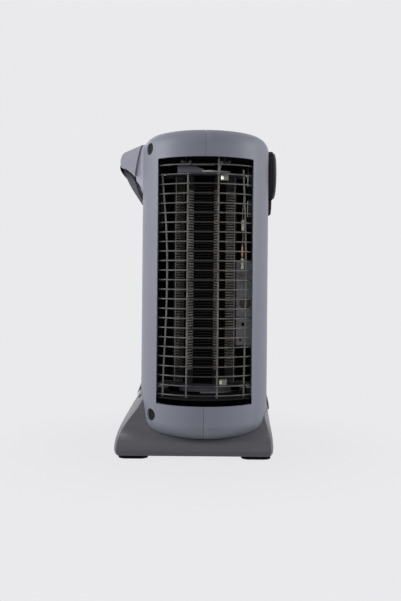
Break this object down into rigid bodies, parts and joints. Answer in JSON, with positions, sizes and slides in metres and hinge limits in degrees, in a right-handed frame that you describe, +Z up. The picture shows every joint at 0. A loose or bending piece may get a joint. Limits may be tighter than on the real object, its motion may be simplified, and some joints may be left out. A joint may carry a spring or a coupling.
{
  "type": "fan heater",
  "caption": "Tower fan heater with a guarded window on each flank, a rear carry handle, a front thermostat dial, push buttons and a flared base.",
  "frame": {"origin": "on the floor, in the middle of the heater's outline seen from above", "axes": "+Z up, +X from the rear handle towards the front dial, Y from one guarded flank to the other"},
  "size_m": [0.2199, 0.22, 0.433],
  "materials": {
    "grey_shell": "fine moulded texture",
    "hood_grey": "fine moulded texture",
    "dark_base": "fine moulded texture",
    "grip_grey": "fine moulded texture",
    "plug_grey": "satin",
    "bottom_plastic": "satin",
    "black_rubber": "matt",
    "guard_wire": "satin coated wire",
    "zinc_steel": "zinc plated sheet",
    "dull_steel": "plain sheet",
    "dark_steel": "dark coated sheet",
    "black_enamel": "matt black enamel",
    "bright_steel": "aluminised sheet",
    "screw_steel": "plated",
    "mica": "pressed mica board",
    "resistance_wire": "oxidised alloy wire",
    "white_ceramic": "unglazed steatite",
    "fuse_copper": "tinned and copper leads",
    "fibre_sleeve": "varnished glass-fibre sleeve",
    "phenolic_tan": "moulded phenolic",
    "black_plastic": "satin",
    "dial_black": "satin",
    "cap_black": "soft gloss",
    "button_black": "satin",
    "white_nylon": "natural nylon"
  },
  "bodies": {
    "heater": {"front_shell": "grey_shell", "rear_shell": "grey_shell", "base_shell": "dark_base", "base_plate": "bottom_plastic", "rubber_feet": "black_rubber", "handle_hood": "hood_grey", "handle_grip": "grip_grey", "handle_bumper": "black_rubber", "screw_plugs": "plug_grey", "shell_screws": "screw_steel", "base_screws": "screw_steel", "plate_screws": "screw_steel", "handle_screws": "screw_steel", "guard_near": "guard_wire", "guard_far": "guard_wire", "element_bottom_plate": "dull_steel", "element_top_plate": "dull_steel", "element_bottom_bracket": "zinc_steel", "element_top_bracket": "zinc_steel", "bracket_screws": "screw_steel", "mica_ribs": "mica", "heating_wire": "resistance_wire", "ceramic_blocks": "white_ceramic", "tie_rod": "screw_steel", "tie_nuts": "screw_steel", "thermal_fuse": "fuse_copper", "fuse_sleeves": "fibre_sleeve", "fuse_block": "white_ceramic", "heat_shield_front": "dark_steel", "heat_shield_rear": "dark_steel", "shield_screws": "screw_steel", "air_baffles": "black_enamel", "core_tube": "black_enamel", "cutout_plate": "bright_steel", "thermal_cutout": "phenolic_tan", "fan_shroud": "black_plastic", "shroud_screws": "screw_steel", "motor_bracket": "zinc_steel", "motor_screws": "screw_steel", "motor_can": "dull_steel", "motor_end_cap": "dull_steel", "control_plate": "zinc_steel", "control_screws": "screw_steel", "thermostat_body": "black_plastic", "mode_switch": "black_plastic", "power_switch": "black_plastic", "tip_switch": "black_plastic", "terminal_block": "white_nylon", "cord_gland": "black_rubber"},
    "dial": {"thermostat_dial": "dial_black", "dial_cap": "cap_black", "thermostat_shaft": "screw_steel"},
    "mode_key": {"mode_button": "dial_black"},
    "power_key": {"power_button": "button_black"},
    "fan": {"fan_impeller": "black_plastic", "motor_rotor": "dull_steel"},
    "plunger": {"tip_plunger": "white_nylon"}
  },
  "joints": [
    {"name": "thermostat_turn", "type": "hinge", "parent": "heater", "child": "dial", "pos_m": [0.099, 0, 0.384], "axis": [1, 0, 0], "range_deg": [0, 270]},
    {"name": "mode_push", "type": "slide", "parent": "heater", "child": "mode_key", "axis": [-1, 0, 0], "range_m": [0, 0.0025], "stiffness_N_per_m": 250, "springref_m": -0.002},
    {"name": "power_push", "type": "slide", "parent": "heater", "child": "power_key", "axis": [-1, 0, 0], "range_m": [0, 0.0016], "stiffness_N_per_m": 300, "springref_m": -0.002},
    {"name": "fan_spin", "type": "hinge", "parent": "heater", "child": "fan", "pos_m": [0.011, 0, 0.05], "axis": [0, 0, 1], "continuous": true},
    {"name": "tip_drop", "type": "slide", "parent": "heater", "child": "plunger", "axis": [0, 0, -1], "range_m": [0, 0.004], "stiffness_N_per_m": 20, "springref_m": 0.006}
  ]
}
